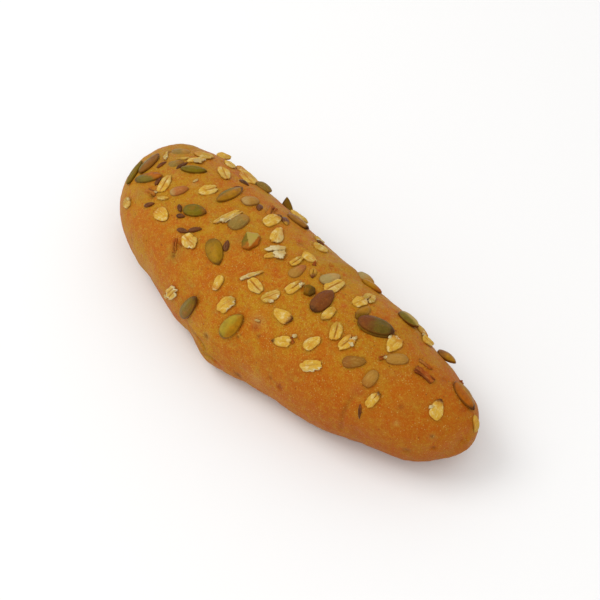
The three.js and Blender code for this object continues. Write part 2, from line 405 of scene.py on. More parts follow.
def fullOval(a, fullness, wedge):
    # an oval that is fuller than an ellipse above 2, and slimmer towards its + end by wedge
    x = math.copysign(abs(math.cos(a)) ** (2 / fullness), math.cos(a))
    y = math.copysign(abs(math.sin(a)) ** (2 / fullness), math.sin(a))
    return x, y * (1 - wedge * x)


pumpkinCuts = {
    "broken": [(-0.98, 0.32), (-0.13, 1.0), (0.42, 0.94), (0.96, 0.22), (0.87, -0.76), (0.24, -1.06),
               (-0.38, -0.64)],
    "chunk": [(-0.95, 0.35), (-0.35, 0.95), (0.6, 0.8), (1.0, 0.05), (0.55, -0.9), (-0.5, -0.85)],
}


def brokenFaces(x, y):
    # how far a place of the broken seed lies past its two ridges: to its - side and to its + end
    return -0.447 * (x + 1.02) - 0.894 * (y - 0.34), 0.927 * (x - 0.2) + 0.376 * (y - 0.91)


def pumpkinShape(index, more):
    cut = more.get("cut")

    def outline(a):
        if cut:
            x, y = cornered(a, pumpkinCuts[cut])
        else:
            x, y = fullOval(a, more.get("full", 2.05), more.get("point", 0.14))
            x += 0.06 * bump(math.sin(a / 2), 0, 0.1) * (x > 0)  # a small nib
        return uneven(x, y, 1.3, 0.03, index)

    def top(x, y, s):
        if cut == "broken":
            sideways, onward = brokenFaces(x, y)
            height = 1.05 - 0.12 * x - 1.3 * max(0, sideways) - 1.5 * max(0, onward)
            return max(0.05, height) * dome(s, 9, 0.4)
        if cut == "chunk":
            return (0.85 - 0.25 * x + 0.12 * y) * dome(s, 8, 0.4)
        wrinkle = 0.07 * rough(x * 1.6, y * 6, index + 5) + 0.12 * rough(x * 1.5, y * 1.7, index)
        lip = 0.1 * bump(s, 0.92, 0.045)
        return dome(s, 2.5, 0.6) * (0.93 + wrinkle) + lip

    def torn(x, y, s):
        return float(cut == "broken" and max(brokenFaces(x, y)) < 0.03)

    return 48 if cut else 44, 13, outline, top, under(2.5, 0.6), None, torn


def sunflowerShape(index, more):
    point = more.get("point", 0.12)

    def outline(a):
        x, y = fullOval(a, 2.35, point)
        x += 0.05 * bump(math.sin(a / 2), 0, 0.12) * (point > 0.15)
        return uneven(x, y, 1.4, 0.035, index + 20)

    def top(x, y, s):
        ridge = 0.07 * math.cos(7 * y + 0.9 * rough(x, y, index)) * (1 - s)
        return dome(s, 2.4, 0.55) * (0.93 + ridge + 0.12 * rough(x * 1.8, y * 1.8, index + 9))

    return 36, 11, outline, top, under(2.4, 0.55)


def flaxShape(index, more):
    def outline(a):
        return uneven(*fullOval(a, 1.8, 0.25), 2, 0.06, index + 40)

    def top(x, y, s):
        crack = bump(y, 0.15 * rough(x * 2, 0, index), 0.13) * windowed(x, -0.7, 0.4)
        lumps = 0.16 * rough(x * 2.5, y * 3, index)
        return dome(s, 2.3, 0.55) * (1 + lumps - more.get("crease", 0.3) * crack)

    return 24, 7, outline, top, under(2.3, 0.55)


# How a flake is made: how much slimmer its + end is, how rough its edge is, its grooves (sidewards place,
# slant, from, to, depth) and its bites (angle, depth, width in degrees)
flakeForms = {
    "oval": (0.12, 0.05, [(0, 0, 0.2, 0.9, 0.2)], [(35, 0.05, 14)]),
    "creased": (0.12, 0.06, [(0, 0, -0.85, 0.85, 0.8)], [(3, 0.1, 8)]),
    "split": (0, 0.08, [(0, 0.05, -0.3, 1.1, 0.9)], [(0, 0.34, 10), (168, 0.06, 14)]),
    "wedge": (0.42, 0.07, [(0.1, 0, -1, 0.1, 0.35)], [(176, 0.16, 9), (206, 0.12, 8), (140, 0.1, 10)]),
    "torn": (0.05, 0.12, [(0.1, 0.1, -0.6, 0.7, 0.45)], [(-62, 0.28, 12), (-95, 0.14, 9), (-25, 0.16, 8)]),
    "shredded": (0.1, 0.18, [(-0.3, 0.2, -0.9, 0.9, 0.8), (0.3, 0.1, -0.7, 0.8, 0.7)],
                 [(20, 0.26, 9), (-32, 0.3, 9), (200, 0.26, 10), (150, 0.16, 8)]),
    "fan": (-0.05, 0.09, [(0, 0, -0.9, 0.9, 0.6), (-0.28, -0.2, -0.4, 0.9, 0.35),
                           (0.3, 0.2, -0.4, 0.9, 0.35)],
            [(-40, 0.12, 9), (24, 0.1, 8), (95, 0.1, 8)]),
    "vee": (0.3, 0.12, [(0, 0, -1.1, 0.3, 1.5)], [(180, 0.75, 22), (60, 0.1, 9)]),
    "lobed": (0.1, 0.1, [(0, 0, 0.2, 1.1, 0.9)], [(0, 0.3, 9), (60, 0.1, 9)]),
    "open": (-0.32, 0.07, [(0.04, 0, -0.5, 1.1, 1)], [(3, 0.5, 11), (168, 0.06, 14)]),
    "egg": (0.26, 0.02, [(0, 0, -0.2, 0.6, 0.12)], [(180, 0.03, 20)]),
    "strip": (0.1, 0.14, [(0.1, 0, -0.9, 0.9, 0.2)],
              [(60, 0.25, 18), (235, 0.3, 16), (120, 0.2, 12), (300, 0.18, 12)]),
}


def flakeShape(index, more):
    wedge, rag, grooves, bites = flakeForms[more.get("form", "oval")]

    def outline(a):
        x, y = fullOval(a, 2.15, wedge)
        reach = 1 + rag * 1.3 * rough(x * 2.6, y * 2.6, index) + 0.035 * rough(x * 9, y * 9, index)
        reach += 0.035 * math.cos(3 * a + index) + 0.03 * math.cos(5 * a + 2.3 * index)
        for angle, depth, width in bites:
            reach -= depth * bump(turned(math.degrees(a) - angle), 0, width)
        return x * reach, y * reach

    def groove(x, y):
        sway = 0.08 * rough(x * 1.5, 0, index)
        return max(bump(y, place + slant * x + sway, 0.12) * windowed(x, start, end) * depth
                   for place, slant, start, end, depth in grooves)

    def form(x, y, s):
        # both faces share this lie: two puffed lobes and lifted, wavy edges
        lobes = 0.22 * (1 - min(1, abs((abs(y) - 0.45) / 0.5)) ** 2)
        return lobes + 0.5 * rough(x * 1.1, y * 1.1, index + 3) * s + 0.2 * s ** 3

    def top(x, y, s):
        grain = 0.12 * rough(x * 2.5, y * 8, index + 11) + 0.07 * rough(x * 7, y * 7, index)
        return form(x, y, s) + dome(s, 6, 0.5) * (0.6 + grain) - 0.75 * groove(x, y) * (1 - s ** 6)

    def bottom(x, y, s):
        return form(x, y, s) * 0.5 - dome(s, 6, 0.5) * 1.1

    def torn(x, y, s):
        angle = math.degrees(math.atan2(y, x))
        cuts = [bump(turned(angle - bite), 0, width * 1.5) for bite, depth, width in bites if depth > 0.11]
        return min(1, max(cuts + [0]) + 0.5 * (rag > 0.15)) * s ** 4

    return 48, 12, outline, top, bottom, groove, torn


def huskShape(index, more):
    def outline(a):
        x, y = fullOval(a, 4.5, 0)
        teeth = 0.35 * rough(y * 3, 0, index + 60) * (abs(x) > 0.7) + 0.12 * rough(x * 3, y * 3, index)
        return x * (0.95 + teeth), y * (0.54 + 0.46 * x * x + 0.4 * teeth) + 0.1 * x * y * y

    def ribs(x, y):
        return math.cos(5.5 * y + 1.6 * rough(x * 0.9, y, index) + index)

    def top(x, y, s):
        return dome(s, 3, 0.5) * (0.8 + 0.5 * ribs(x, y) + 0.7 * rough(x * 1.8, y * 2.2, index))

    def hollow(x, y):
        return 0.5 - 0.5 * ribs(x, y)

    return 44, 11, outline, top, under(2.4, 0.5), hollow


def crumbShape(index, more):
    def outline(a):
        x, y = math.cos(a), math.sin(a)
        reach = 1 + 0.5 * rough(x * 1.4, y * 1.4, index + 80) + 0.35 * rough(x * 3.5, y * 3.5, index)
        return x * reach, y * reach

    def top(x, y, s):
        return dome(s, 2.4, 0.5) * (0.8 + 0.8 * rough(x * 2.6, y * 2.6, index))

    return 24, 6, outline, top, under(2.2, 0.5)


def at(*place, **more):
    return (*place, more)


# The rows that give each seed its place and look:
# along, around, turn, length, width, colour, colour at its other side, and what else differs:
# lift (mm), pitch (degrees, + end up), roll and lean (degrees; lean tips its face towards the ridge),
# thick (share), fade (degrees from the + end, the way in which the second colour lies), shift (where it
# starts), tip and heel (dark ends), crease and rim (how dark the groove and the edge are), white (how pale
# torn edges are), form and cut (its kind of outline), point (how much slimmer its + end is), full (how
# much fuller than an ellipse it is). stand is how far the middle of a kind lies above the crust in mm,
# and bends is 1 where it follows the crust.
pumpkin = {
    "width": 0.5, "thickness": 2.9, "stand": 0.25, "bends": 0,
    "colours": {
        "green": (116, 94, 6), "lime": (114, 95, 5), "olive": (116, 76, 4), "mustard": (172, 116, 4),
        "amber": (166, 112, 12), "brown": (136, 82, 22), "deep": (122, 86, 6), "dark": (84, 54, 8),
        "red": (116, 56, 24), "greyGreen": (112, 96, 30), "orange": (170, 88, 12), "tan": (186, 156, 84),
        "greyBrown": (150, 98, 32), "murky": (98, 78, 24), "straw": (170, 142, 38), "khaki": (154, 110, 8),
    },
    "rows": [
        at(-92.3, -44.5, 130, 13.6, 4.6, "lime", "green", fade=-90, full=1.85),
        at(-90, -22.8, 120, 13.8, 6.3, "brown", "greyGreen", fade=90, shift=0.6, full=1.8,
           point=0.05, tip=0.3),
        at(-82.2, -33.2, 54, 13.8, 5.7, "greyGreen", "orange", fade=35, heel=0.8, rim=0.2,
           full=1.8, point=-0.05),
        at(-70.2, 13.7, 45, 12, 5.2, "lime", "green", fade=90, shift=0.6, tip=0.4, rim=0.5,
           full=1.75, point=0.05),
        at(-48.9, -18.4, 36, 10.9, 6.7, "lime", "brown", tip=0.4, shift=0.88, rim=0.5, full=1.95),
        at(-25.2, -31.2, -23, 13.8, 7.4, "khaki", "deep", tip=0.6, fade=180, shift=0.82),
        at(-46.6, 22, 98, 15.4, 6.1, "amber", "greyGreen", fade=90, shift=0.64, tip=0.8, rim=0.6,
           full=1.75, point=0),
        at(-18.7, -0.3, 0, 9, 9.8, "green", "orange", fade=0, shift=0.62, cut="broken", rim=0.3),
        at(5, -63.2, 72, 13.6, 7.4, "straw", "amber", fade=-75, heel=0.6),
        at(-19.2, -76.3, 70, 16, 6.3, "deep", "green", tip=0.6, fade=90, shift=0.5, rim=0.9),
        at(-19.3, 57.5, 12, 11.8, 4.8, "greyBrown", "tan", tip=1, fade=60, lean=12, lift=0.4, shift=0.7),
        at(-36, 79.3, 220, 11, 6, "deep", "dark", fade=90, pitch=41, roll=-95, full=1.55, point=0.2),
        at(18.9, 0.8, 20, 5.7, 5.6, "deep", "dark", cut="chunk", rim=0.2, thick=1.1),
        at(26.4, 1.4, 98, 13.7, 7.7, "red", "red", heel=1, thick=1.15, rim=0.5, point=0.1),
        at(28.6, 58, 10, 10.2, 4.4, "mustard", "orange", lean=12, lift=0.2, full=1.9, shift=0.7),
        at(50.1, 16, 26, 15.6, 8.5, "red", "murky", lift=0.7, shift=0.4, tip=0.9, rim=0.7, point=0.05),
        at(50.5, 15, 24, 15.8, 8.8, "deep", "dark", lift=-0.3, shift=0.4, point=0.05),
        at(41.5, 19.3, 98, 9.1, 4.8, "amber", "olive", lift=-0.3, fade=200, shift=0.6),
        at(72.4, 70, 4, 9.8, 5.2, "brown", "amber", lift=1.4, lean=42, pitch=10, rim=0.8, full=1.75),
        at(52.8, 52, 14, 10.2, 5.4, "tan", "greyGreen", lift=0.5, lean=22, thick=1.2, rim=1,
           fade=-110, shift=0.5),
        at(92.8, 39, -2, 13.6, 7.4, "orange", "amber", tip=1, lean=6, rim=0.8, full=1.85, fade=90),
    ],
}
sunflower = {
    "width": 0.56, "thickness": 3, "stand": 0.1, "bends": 0,
    "colours": {
        "tan": (174, 122, 44), "grey": (142, 112, 46), "olive": (152, 100, 28), "brown": (146, 86, 24),
        "pink": (176, 112, 54), "rose": (174, 98, 42), "orange": (170, 108, 34), "pale": (186, 148, 84),
        "paleOlive": (168, 144, 86), "moss": (126, 96, 22),
    },
    "rows": [
        at(-63.7, -16.2, 72, 8.3, 5, "rose", "pale", fade=180, shift=0.8, lift=-0.2, point=0.2),
        at(-38.2, 33.3, 75, 8.2, 6.2, "tan", "pale", fade=180, shift=0.7),
        at(-47.2, 64, 4, 9, 5.4, "moss", "moss", lift=0.8, lean=26),
        at(-30.4, 6.1, 100, 10.6, 7.1, "grey", "tan", shift=0.75, thick=1.15, point=0.04),
        at(7.3, 9.9, 93, 9.3, 4.9, "tan", "rose", lift=-0.3, point=0.3),
        at(18.7, 26.4, 80, 9.9, 5.6, "paleOlive", "pale", point=0.22),
        at(67, 3.2, 46, 9.6, 5.4, "tan", "tan", point=0.04),
        at(56.6, -27.3, 38, 9.6, 5, "brown", "olive", point=0.25, shift=0.4),
        at(66.3, -31, 88, 8, 5.2, "tan", "orange", point=0.06, fade=180, shift=0.7),
        at(-87.3, 27.3, 60, 8.8, 7, "grey", "tan", lift=-0.45),
        at(-79.8, 4.4, 80, 7.6, 5, "grey", "olive", lift=-0.5, point=0.25),
        at(23, 61.6, 8, 9, 5.8, "paleOlive", "tan", lift=0.7, lean=24),
    ],
}
oat = {
    "width": 0.6, "thickness": 1.5, "stand": 0.3, "bends": 1,
    "colours": {
        "gold": (218, 170, 54), "pale": (210, 172, 78), "honey": (196, 153, 48), "tan": (182, 144, 48),
        "orange": (198, 130, 36), "toast": (176, 104, 32), "cream": (206, 178, 108),
    },
    "rows": [
        at(-72.1, -23.2, 126, 10.6, 5.1, "gold", "pale", form="creased", crease=1),
        at(-59.7, -43.3, 9, 8.3, 6.2, "gold", "orange", fade=170, shift=0.75, white=0.5),
        at(-54.6, 8.1, 76, 9, 6, "gold", "pale", form="split", shift=0.6, crease=0.5),
        at(-75.7, 27.5, 70, 8.4, 4.4, "gold", "pale", form="torn", white=1),
        at(-78.2, 43, 204, 9.4, 7, "honey", "orange", form="wedge", shift=0.7),
        at(-82, -64.5, 14, 6.4, 5, "tan", "pale", white=0.5),
        at(-38.2, -40.1, 0, 8.7, 6.4, "gold", "pale", form="fan", crease=0.9, white=1),
        at(-60.6, 38.5, -22, 10.2, 5.4, "gold", "pale", form="creased", crease=0.6),
        at(-67, 57, -14, 6.9, 4.8, "gold", "pale", form="creased", crease=0.5, lean=6),
        at(-77.2, 70, 6, 7.4, 5.6, "gold", "honey", lift=1, lean=34),
        at(-54.8, 57.5, -14, 10.3, 6.8, "gold", "orange", form="creased", crease=0.6, fade=180, lean=8),
        at(-62.5, 66, 2, 8.2, 5.2, "orange", "gold", lift=0.3, lean=12),
        at(-58.5, 68, 6, 8, 4.6, "gold", "honey", lift=0.4, lean=14),
        at(-53, 64, 10, 6.6, 4.2, "gold", "orange", lift=0.1, lean=12),
        at(-23.2, 34.3, 104, 11.4, 6.3, "gold", "orange", tip=1, shift=0.75, crease=0.3),
        at(-14.1, 24.6, 130, 10.8, 5.5, "gold", "cream", form="wedge", fade=-90, shift=0.6,
           crease=0.5, white=0.3),
        at(-12.7, -46.7, 110, 7.3, 4.1, "gold", "orange", fade=180, shift=0.7),
        at(1.3, -28.9, -6, 8.7, 5.5, "gold", "pale", form="creased", crease=1),
        at(9.8, -27.1, 66, 8.6, 5.1, "honey", "pale", form="fan", white=0.9, crease=0.9),
        at(13.3, -6.2, 86, 9.2, 4.6, "gold", "honey", form="split", crease=0.9, white=0.7, tip=0.35),
        at(20.3, -33.2, 185, 9.4, 5.3, "gold", "orange", heel=1, form="egg", fade=180, shift=0.8),
        at(-2.6, -53.7, 68, 9, 6, "gold", "honey", form="torn", white=0.8, tip=0.3),
        at(-31.2, -78.3, 60, 9.6, 5.2, "gold", "pale", form="shredded", crease=0.8, white=0.9),
        at(0.4, 49.6, 17, 7, 5, "honey", "pale", lean=4),
        at(4.2, 29.6, 8, 7.3, 4.9, "gold", "pale"),
        at(2.9, 17.2, 95, 7.7, 3.5, "gold", "honey", crease=0.5, form="creased"),
        at(23, 23, 90, 10.9, 6.2, "gold", "pale", form="creased", crease=0.9, fade=-90),
        at(36.1, 26.9, 85, 7.3, 5.7, "gold", "orange", tip=0.3, shift=0.8, form="fan", crease=0.2),
        at(36.2, 38.6, 105, 7.8, 5.2, "tan", "pale", form="vee", white=0.3),
        at(33, -4.6, 94, 8.1, 4.2, "gold", "honey", heel=0.35),
        at(41.5, -14, 119, 8.8, 5.2, "gold", "honey", form="creased", crease=1),
        at(48.4, -17.2, 84, 8.8, 5, "gold", "orange", form="open", white=1, shift=0.7, crease=0.2),
        at(38.3, -35.7, 71, 7.9, 4.8, "gold", "cream", fade=90, shift=0.85),
        at(27.9, -49.1, 213, 8.8, 4.4, "gold", "gold", form="wedge", tip=1),
        at(44.5, -50.8, 33, 9.6, 5, "gold", "cream", form="torn", white=1, fade=-90, shift=0.8),
        at(60.9, 14.3, 281, 9.6, 5.8, "gold", "orange", form="wedge", white=0.6, fade=180, shift=0.72),
        at(58, 63, 12, 7.2, 4.6, "honey", "orange", lift=0.2, lean=10),
        at(64.2, 57.5, 20, 5.6, 4.8, "gold", "pale", form="creased", crease=0.6, lean=14, lift=0.3),
        at(72.4, -46.6, 75, 8, 3.9, "gold", "orange", form="lobed", tip=0.9, white=0.8, shift=0.85,
           crease=0.3),
        at(92.1, -15.2, 110, 9, 5.3, "gold", "toast", form="egg", tip=1, shift=0.78),
        at(101.2, 52, 32, 7.6, 3.8, "gold", "honey", lift=0.2, form="egg"),
        at(-22.5, 64, 14, 9.6, 5, "gold", "honey", lift=1.2, lean=12),
        at(-36.3, 1.4, 88, 13.4, 2.7, "pale", "gold", form="strip", white=0.5),
        at(-34.3, 4.7, 90, 10.4, 2.1, "cream", "pale", form="strip", white=1),
        at(-4.1, -24.4, 67, 10.2, 2.1, "cream", "pale", form="strip", white=0.7),
        at(-88, 2.7, 146, 7.5, 1.9, "cream", "pale", form="strip", white=0.6),
        at(-65.8, -33.4, 49, 5.4, 2, "pale", "gold", form="strip"),
        at(-80.3, 17, 62, 5.6, 1.7, "gold", "pale", form="strip"),
        at(-6.6, 3.4, 250, 6.2, 3, "honey", "gold", lift=-0.2),
        at(-6, 60.5, 16, 5, 3.4, "honey", "cream", form="torn", white=0.8),
    ],
}
flax = {
    "width": 0.4, "thickness": 1.7, "stand": 0.15, "bends": 1,
    "colours": {
        "brown": (98, 48, 20), "plum": (100, 46, 18), "red": (112, 52, 18), "dark": (80, 34, 10),
        "gold": (198, 144, 34), "black": (76, 34, 8),
    },
    "rows": [
        at(-84, -10.8, 103, 5.7, 2, "red", "plum"),
        at(-76, -26.9, 120, 4.8, 2.3, "plum", "brown"),
        at(-69.2, -46.7, 57, 5.6, 2.2, "plum", "red"),
        at(-55.2, -27.4, -20, 4.7, 2.1, "dark", "brown"),
        at(-51.6, -31.4, 38, 4.3, 2.3, "dark", "plum"),
        at(-44.8, -38.4, 27, 6.2, 2.3, "plum", "brown"),
        at(-40.7, -30, 55, 6.2, 2.5, "plum", "red", shift=0.85),
        at(-76.4, 7.6, 101, 6.8, 2, "black", "brown", lift=-0.1),
        at(-51.4, 47.6, 8, 5.6, 2.7, "black", "dark"),
        at(-23.7, -20.1, 130, 6.1, 2.8, "brown", "plum"),
        at(-20.4, 44.8, -30, 6.2, 3.5, "plum", "gold", shift=0.8),
        at(12.2, 18.9, -51, 6, 3.1, "gold", "red", crease=1.2, shift=0.7),
        at(70.7, -63.3, -74, 7.6, 1.6, "red", "dark", lift=-0.55),
        at(-48.6, 35.1, 80, 4.8, 2.3, "red", "plum"),
        at(-32.5, 34.7, -45, 4.7, 3, "plum", "brown"),
        at(-3.6, 57.5, 10, 4.2, 2, "black", "red"),
    ],
}
husk = {
    "width": 0.4, "thickness": 2.2, "stand": 0.1, "bends": 1,
    "colours": {
        "red": (186, 92, 24), "dark": (156, 72, 22), "pink": (196, 124, 56), "orange": (190, 114, 32),
    },
    "rows": [
        at(78.8, 10, 3, 9.8, 4.4, "dark", "red", thick=1.5, lift=0.5),
        at(86.2, 61, 10, 3, 1.8, "dark", "dark", lift=-0.7),
        at(75, 23.5, 4, 6.4, 2, "pink", "red", thick=0.6, lift=-0.1),
        at(62.9, -5.5, 60, 3.8, 2.2, "red", "pink", thick=0.7),
        at(-42.5, -50.9, 134, 6.2, 3.2, "orange", "red", thick=0.9),
        at(-28.8, 42, 120, 8.4, 5, "orange", "red", thick=1.1),
        at(30.9, -43.5, -30, 3.4, 1.9, "dark", "red", thick=0.6),
        at(8, 29.2, -60, 3.8, 2.8, "red", "dark", thick=0.7),
        at(-73.8, -38.2, 20, 6.4, 3.8, "orange", "orange", thick=0.9),
    ],
}
crumb = {
    "width": 0.7, "thickness": 1.4, "stand": 0.6, "bends": 1,
    "colours": {
        "white": (224, 206, 156), "cream": (206, 174, 106), "grey": (198, 174, 120),
    },
    "rows": [
        at(-7.6, 11.6, 56, 8.6, 3.3, "white", "cream", lift=0.5),
        at(-3.9, 9.4, 100, 5.4, 4.8, "white", "cream", lift=0.6),
        at(-73.9, 27, 40, 4.6, 3.4, "grey", "cream", lift=0.2),
        at(-35.3, -4.6, 60, 3, 2.2, "white", "cream", lift=0.3),
        at(30.8, -39.6, 40, 2.4, 1.5, "white", "cream"),
        at(50.6, -15.8, 0, 2.2, 1.6, "white", "white", lift=0.4),
        at(49.2, -8.8, 80, 2.4, 1.5, "white", "cream", lift=0.2),
        at(90.2, -17.6, 70, 2.2, 1.5, "white", "cream"), at(-34.6, -86.5, 50, 2.4, 1.8, "white", "cream"),
        at(14.6, 0.6, 60, 2.4, 1.5, "white", "cream", lift=0.4),
        at(11.8, -30.2, 30, 2.6, 1.6, "cream", "white", lift=0.4),
        at(57.6, 17.6, 90, 2.2, 1.2, "white", "cream"), at(60.8, 58, 20, 2, 1.4, "grey", "white"),
        at(-81.6, -60.5, 20, 2.4, 1.2, "white", "cream", lift=0.2),
        at(13.4, -48.4, 20, 2.4, 1.1, "cream", "cream", lift=-0.4),
        at(63.6, -4.6, 60, 1.8, 1.2, "cream", "white"),
        at(-63.2, 5.6, 100, 2.6, 1.2, "cream", "cream", lift=-0.3),
        at(-71.6, -35.4, 40, 2, 1.2, "cream", "grey", lift=-0.2),
    ],
}

# The far side has the same kinds, scattered by a seeded rule: each kind's count and length
scatter = {
    "rows": [("pumpkin", 6, 13.5), ("sunflower", 4, 10), ("oat", 14, 9.5), ("flax", 5, 6.3)],
    "along": (-90, 90), "around": (88, 110), "lengths": (0.9, 1.08), "seed": 4, "tries": 4000,
    "gap": 1.5, "body": 0.8,  # the room between two seeds, and the share of its length that each takes up
    "pace": 0.58,  # mm for each degree around
    "toneSeed": 11, "tones": 5, "forms": 6,  # the first so many of a kind's colours and of the flake forms
}


def drawer(start):
    # an endless row of repeatable numbers from 0 to 1
    state = start * 7919
    while True:
        state = state * 48271 % 2147483647
        yield state / 2147483647


def scatteredSeeds(kinds):
    draw, (body, gap, pace) = drawer(scatter["seed"]), [scatter[name] for name in ("body", "gap", "pace")]

    def share(low, high):
        return low + (high - low) * next(draw)

    placed = [(row[0], row[1], row[3] * body) for kind in kinds.values() for row in kind["rows"]]
    found = []
    for kind, left, length in scatter["rows"]:
        for attempt in range(scatter["tries"]):
            if not left:
                break
            size = length * share(*scatter["lengths"])
            along, around, turn = share(*scatter["along"]), share(*scatter["around"]), share(0, 180)
            clear = [math.hypot(a - along, (r - around) * pace) >= (s + size * body) / 2 + gap
                     for a, r, s in placed]
            if all(clear):
                placed.append((along, around, size * body))
                found.append((kind, along, around, turn, size))
                left -= 1
    return found


def seedTree(name, material):
    # Puts a seed shape at each point, bends it with the crust and turns the lot into a mesh
    inputs = {"Shapes": ("Collection", None), "Bend": ("Float", 1.0)}
    graph = geometryTree(name, inputs)
    wires = graph.inputs

    def named(label, kind="FLOAT_VECTOR"):
        return graph.node("GeometryNodeInputNamedAttribute", {"data_type": kind}, {"Name": label})

    shapes = graph.node("GeometryNodeCollectionInfo", None,
                        {"Collection": wires["Shapes"], "Separate Children": True, "Reset Children": True})
    up, size = named("up"), named("size")
    aim = graph.node("FunctionNodeAxesToRotation", {"primary_axis": "Z", "secondary_axis": "X"},
                     {"Primary Axis": up, "Secondary Axis": named("ahead")})
    put = graph.node("GeometryNodeInstanceOnPoints", None,
                     {"Points": wires["Geometry"], "Instance": shapes, "Pick Instance": True,
                      "Instance Index": named("pick", "INT"), "Rotation": aim, "Scale": size})
    real = graph.node("GeometryNodeRealizeInstances", None, {0: put})
    x, y, _ = graph.parts(named("place") * size)
    curveX, curveY, twist = graph.parts(named("curve"))
    drop = (x * x * curveX + y * y * curveY + x * y * twist) * 0.5 * wires["Bend"]
    moved = graph.node("GeometryNodeSetPosition", None, {"Geometry": real, "Offset": up * (drop * -1)})
    closeTree(graph, moved, material)
    return graph, inputs


def curvature(along, around, lengthwise, crosswise, reachX, reachY):
    # how the crust falls away from its tangent plane along and across a seed, for each m
    place, normal, _, _, alongPace, aroundPace = crustFrame(along, around)

    def drop(x, y):
        onward = (x * lengthwise[0] + y * crosswise[0]) / alongPace
        outward = (x * lengthwise[1] + y * crosswise[1]) / aroundPace
        return -float(np.dot(crustPoint(along + onward, around + outward) - place, normal))

    curveX = (drop(reachX, 0) + drop(-reachX, 0)) / reachX ** 2
    curveY = (drop(0, reachY) + drop(0, -reachY)) / reachY ** 2
    twist = drop(reachX, reachY) + drop(-reachX, -reachY) - drop(-reachX, reachY) - drop(reachX, -reachY)
    return np.array([curveX, curveY, twist / (2 * reachX * reachY)]) / mm


def seedPiece(name, kind, makeShape, material, keep):
    shapes = gathered(name + "Shapes")
    kinds = dict.fromkeys(("up", "ahead", "size", "curve", "fade", "marks"), "FLOAT_VECTOR")
    kinds |= {"tone": "FLOAT_COLOR", "toneTwo": "FLOAT_COLOR", "pick": "INT"}
    layers, spots = {label: [] for label in kinds}, []
    for index, row in enumerate(kind["rows"]):
        along, around, turn, length, width, tone, toneTwo, more = row
        lens("%s%03d" % (name, index), shapes, *makeShape(index, more))
        place, normal, forward, across, _, _ = crustFrame(along, around)
        cosTurn, sinTurn = aimed(turn)
        ahead = forward * cosTurn + across * sinTurn
        curve = curvature(along, around, (cosTurn, sinTurn), (-sinTurn, cosTurn), length / 2, width / 2)
        spots.append((place + normal * (kind["stand"] + more.get("lift", 0))) * mm)
        tips = {"roll": ahead, "pitch": np.cross(ahead, normal), "lean": forward}
        for tip, axis in tips.items():
            spin = Quaternion(Vector(axis), math.radians(more.get(tip, 0)))
            normal, ahead = np.array(spin @ Vector(normal)), np.array(spin @ Vector(ahead))
        thickness = kind["thickness"] * more.get("thick", 1)
        line = more.get("crease", more.get("rim", 0.4))
        values = {
            "up": normal, "ahead": ahead, "size": np.array([length, width, thickness]) / 2 * mm,
            "curve": curve * kind["bends"], "pick": index,
            "tone": shade(*kind["colours"][tone]), "toneTwo": shade(*kind["colours"][toneTwo]),
            "fade": (*aimed(more.get("fade", 0)), more.get("shift", 0.55)),
            "marks": (more.get("tip", 0) - more.get("heel", 0), line, more.get("white", 0)),
        }
        for label in layers:
            layers[label].append(values[label])
    made = meshObject(name, spots, (), {label: (kinds[label], values) for label, values in layers.items()})
    graph, inputs = seedTree(name + "Tree", material)
    grown(made, graph, inputs | {"Shapes": ("Collection", shapes)}, keep)
    for shape in list(shapes.objects):
        bpy.data.objects.remove(shape)
    bpy.data.collections.remove(shapes)
    made.data.shade_smooth()
    print(name, "made:", len(spots), "seeds,", len(made.data.polygons), "faces")
    return made


def seedColour(finish, softness=0.35):
    # the first colour turning into the second across the seed
    x, y, _ = finish.split("place")
    cosFade, sinFade, shift = finish.split("fade")
    wander = (finish.noise(finish.spot(), 0.5, 2) - 0.5) * 0.8
    across = x * cosFade + y * sinFade + wander - (shift * 2 - 1)
    share = finish.between(across, -softness, softness)
    return finish.mix(share, finish.value("tone", "Color"), finish.value("toneTwo", "Color"))


def darkEnds(finish, colour, dark, start):
    # the slim end or the broad end, whichever the seed's row asks for, is scorched
    mark, x = finish.split("marks")[0], finish.split("place")[0]
    wander = (finish.noise(finish.spot(), 1.1, 2) - 0.5) * 0.4
    reach = finish.between(x * finish.maths("SIGN", mark) + wander, start, 0.95)
    return finish.coated(colour, (reach * finish.maths("ABSOLUTE", mark), dark))


def pumpkinFinish():
    finish = Finish("pumpkinSkin", Roughness=0.42, Specular_IOR_Level=0.3, Specular_Tint=(1, 0.66, 0.16, 1))
    spot, soft = finish.spot(), finish.between
    share, torn, _ = finish.split("relief")
    z, rim = finish.split("place")[2], finish.split("marks")[1]
    mottle = finish.noise(spot, 0.5, 3, 0.6)
    blush = finish.noise(spot + (40, 0, 0), 0.3, 2, 0.5)
    fine = finish.noise(spot, 2.4, 3, 0.65)
    wander = (mottle - 0.5) * 0.16
    colour = finish.coated(seedColour(finish), (soft(blush, 0.52, 0.72) * 0.4, (154, 84, 12)))
    colour = finish.glazed(
        colour,
        (soft(mottle, 0.5, 0.7) * 0.45, (1.45, 1.4, 1.3)),
        (soft(mottle, 0.48, 0.3) * 0.45, (0.55, 0.52, 0.6)),
        # painted highlight: the middle of each seed is made lighter than its rim
        (soft(share, 0.75, 0.2) * 0.3, (1.35, 1.3, 1.2)))
    colour = finish.coated(
        colour,
        (soft(fine, 0.54, 0.75) * 0.35, (190, 150, 36)),
        (soft(fine, 0.46, 0.25) * 0.4, (74, 46, 4)),
        (soft(share + wander, 0.87, 0.98) * rim, (98, 50, 10)),
        # painted shade: the seed's underside, below its middle, is darker
        (soft(z + wander, 0, -0.25) * 0.4, (104, 62, 12)))
    inside = finish.mix(soft(mottle, 0.4, 0.65), shade(188, 152, 76), shade(178, 158, 66))
    colour = darkEnds(finish, finish.mix(torn * 0.9, colour, inside), (70, 30, 16), 0.66)
    return finish.wear(colour, soft(mottle, 0.2, 0.9) * 0.2 + 0.3, fine + mottle * 2, 0.16, 0.6)


